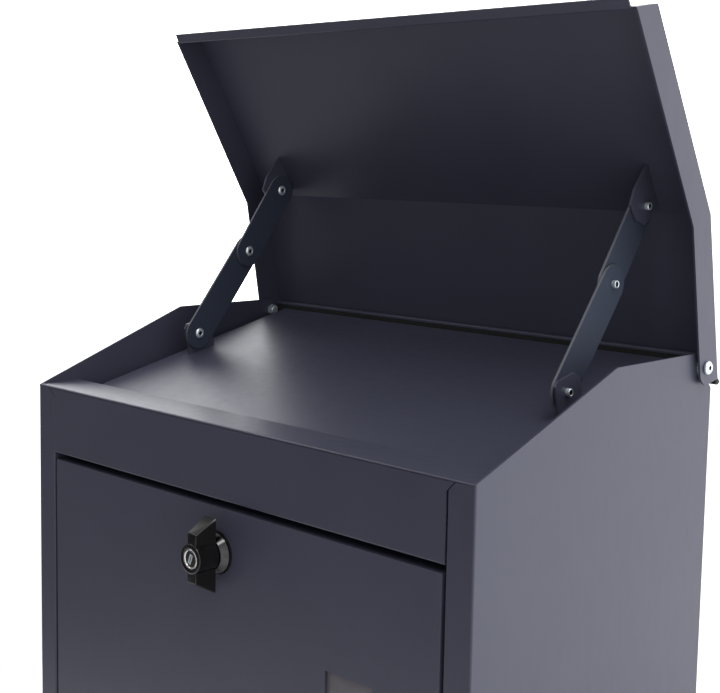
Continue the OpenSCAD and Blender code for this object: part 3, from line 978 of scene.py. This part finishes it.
    def build(self) -> None:
        """Makes the lock's pieces."""
        self.collar()
        self.knob()
        self.plug()
        plain("lock_washer", FINISHES.knob, 0.25 * MM)
        plain("lock_nut", FINISHES.zinc, 0.4 * MM)
        plain("cam", FINISHES.zinc, 0.3 * MM)
        plain("cam_screw", FINISHES.zinc, 0.3 * MM)


# ---------------------------------------------------------------- studio


@dataclass(frozen=True)
class Softbox:
    """A large soft light."""

    name: str
    place: tuple
    target: tuple
    width: float
    height: float
    glow: float

    def build(self) -> None:
        """Hangs the light and turns it to its target."""
        light = bpy.data.lights.new(self.name, "AREA")
        light.shape = "RECTANGLE"
        light.size = self.width
        light.size_y = self.height
        light.energy = self.glow * self.width * self.height * math.pi
        obj = bpy.data.objects.new(self.name, light)
        bpy.context.scene.collection.objects.link(obj)
        obj.location = self.place
        obj.rotation_euler = (Vector(self.target) - Vector(self.place)).to_track_quat(
            "-Z", "Y").to_euler()


@dataclass
class Studio:
    """Floor, light and camera."""

    lens: float = 66.298
    shift_up: float = -39.75 / 720
    stand: tuple = (0.67377, -0.70084, 0.70689)
    yaw: float = 0.763045
    pitch: float = 0.109703
    roll: float = 0.0183212
    floor_radius: float = 0.92
    window_glow: float = 3.0
    window_way: tuple = (-0.74, 0.58, 0.34)
    window_edge: tuple = (0.80, 0.97)
    bright_way: tuple = (0.6, 0.8, 0.0)
    room_levels: tuple = (0.1, 2.1)
    softboxes: tuple = (
        Softbox("softbox_top", (0.85, -0.15, 2.3), (0.0, -0.05, 0.5), 0.6, 0.6, 8.0),
        Softbox("softbox_front", (0.54, -1.06, 2.3), (-0.1, -0.15, 0.45), 0.45, 0.45, 7.0),
        Softbox("softbox_key", (-1.45, -0.95, 2.0), (0.0, -0.05, 0.6), 0.5, 0.5, 3.5))

    def floor(self) -> None:
        """Lays the pale floor."""
        deselect_all()
        bpy.ops.mesh.primitive_circle_add(vertices=128, radius=self.floor_radius, fill_type="NGON",
                                          location=(0, 0, -0.0005))
        obj = bpy.context.object
        obj.name = "floor"
        bpy.ops.object.transform_apply(location=True, rotation=True, scale=True)
        bpy.ops.object.mode_set(mode="EDIT")
        bpy.ops.mesh.select_all(action="SELECT")
        bpy.ops.mesh.extrude_region_move(TRANSFORM_OT_translate={"value": (0, 0, -0.012)})
        bpy.ops.mesh.select_all(action="SELECT")
        bpy.ops.mesh.normals_make_consistent(inside=False)
        bpy.ops.object.mode_set(mode="OBJECT")
        nodes = Nodes("pale_floor")
        nodes.tint(nodes.spread(nodes.noise(2.0, 3.0), 0.0, 1.0), (0.86, 0.86, 0.86),
                   (0.9, 0.9, 0.9))
        nodes.set(Roughness=0.7)
        obj.data.materials.append(nodes.material)

    def surroundings(self) -> None:
        """Lights the room white, dimmer towards the front left, with a window's glow behind left."""
        world = bpy.data.worlds.new("studio")
        bpy.context.scene.world = world
        world.use_nodes = True
        tree = world.node_tree
        coords = tree.nodes.new("ShaderNodeTexCoord")
        facing = tree.nodes.new("ShaderNodeVectorMath")
        facing.operation = "DOT_PRODUCT"
        facing.inputs[1].default_value = self.bright_way
        level = tree.nodes.new("ShaderNodeMapRange")
        low, high = self.room_levels
        for key, value in (("From Min", -1.0), ("From Max", 1.0), ("To Min", low), ("To Max", high)):
            level.inputs[key].default_value = value
        tree.links.new(coords.outputs["Generated"], facing.inputs[0])
        tree.links.new(facing.outputs["Value"], level.inputs["Value"])
        window = tree.nodes.new("ShaderNodeVectorMath")
        window.operation = "DOT_PRODUCT"
        window.inputs[1].default_value = Vector(self.window_way).normalized()
        glow = tree.nodes.new("ShaderNodeMapRange")
        glow.interpolation_type = "SMOOTHSTEP"
        start, full = self.window_edge
        for key, value in (("From Min", start), ("From Max", full), ("To Min", 0.0),
                           ("To Max", self.window_glow)):
            glow.inputs[key].default_value = value
        total = tree.nodes.new("ShaderNodeMath")
        total.operation = "ADD"
        tree.links.new(coords.outputs["Generated"], window.inputs[0])
        tree.links.new(window.outputs["Value"], glow.inputs["Value"])
        tree.links.new(level.outputs["Result"], total.inputs[0])
        tree.links.new(glow.outputs["Result"], total.inputs[1])
        tree.links.new(total.outputs["Value"], tree.nodes["Background"].inputs["Strength"])
        tree.nodes["Background"].inputs["Color"].default_value = (1.0, 1.0, 1.0, 1.0)

    def camera(self) -> None:
        """Sets the camera up at the box's front right."""
        data = bpy.data.cameras.new("camera")
        data.sensor_width = 36.0
        data.lens = self.lens
        data.shift_y = self.shift_up
        ahead = Vector((-math.sin(self.yaw) * math.cos(self.pitch),
                        math.cos(self.yaw) * math.cos(self.pitch), -math.sin(self.pitch)))
        right = Vector((math.cos(self.yaw), math.sin(self.yaw), 0.0))
        up = right.cross(ahead)
        tilt = Matrix.Rotation(-self.roll, 3, ahead)
        right, up = tilt @ right, tilt @ up
        turn = Matrix((right, up, -ahead)).transposed().to_4x4()
        obj = bpy.data.objects.new("camera", data)
        bpy.context.scene.collection.objects.link(obj)
        obj.matrix_world = Matrix.Translation(self.stand) @ turn
        data.clip_start = 0.02
        bpy.context.scene.camera = obj

    def build(self) -> None:
        """Makes the studio."""
        self.floor()
        self.surroundings()
        for softbox in self.softboxes:
            softbox.build()
        self.camera()
        bpy.context.scene.view_settings.view_transform = "Standard"


def main() -> None:
    """Builds the box and its studio, and notes the sizes."""
    logging.basicConfig(level=logging.INFO, format="%(name)s %(message)s")
    Carcass().build()
    FlapHinge().build()
    LidHinge().build()
    Lid().build()
    for side in Side:
        Stay(side).build()
    Flap().build()
    Door().build()
    Lock().build()
    Studio().build()


if __name__ == "__main__":
    main()
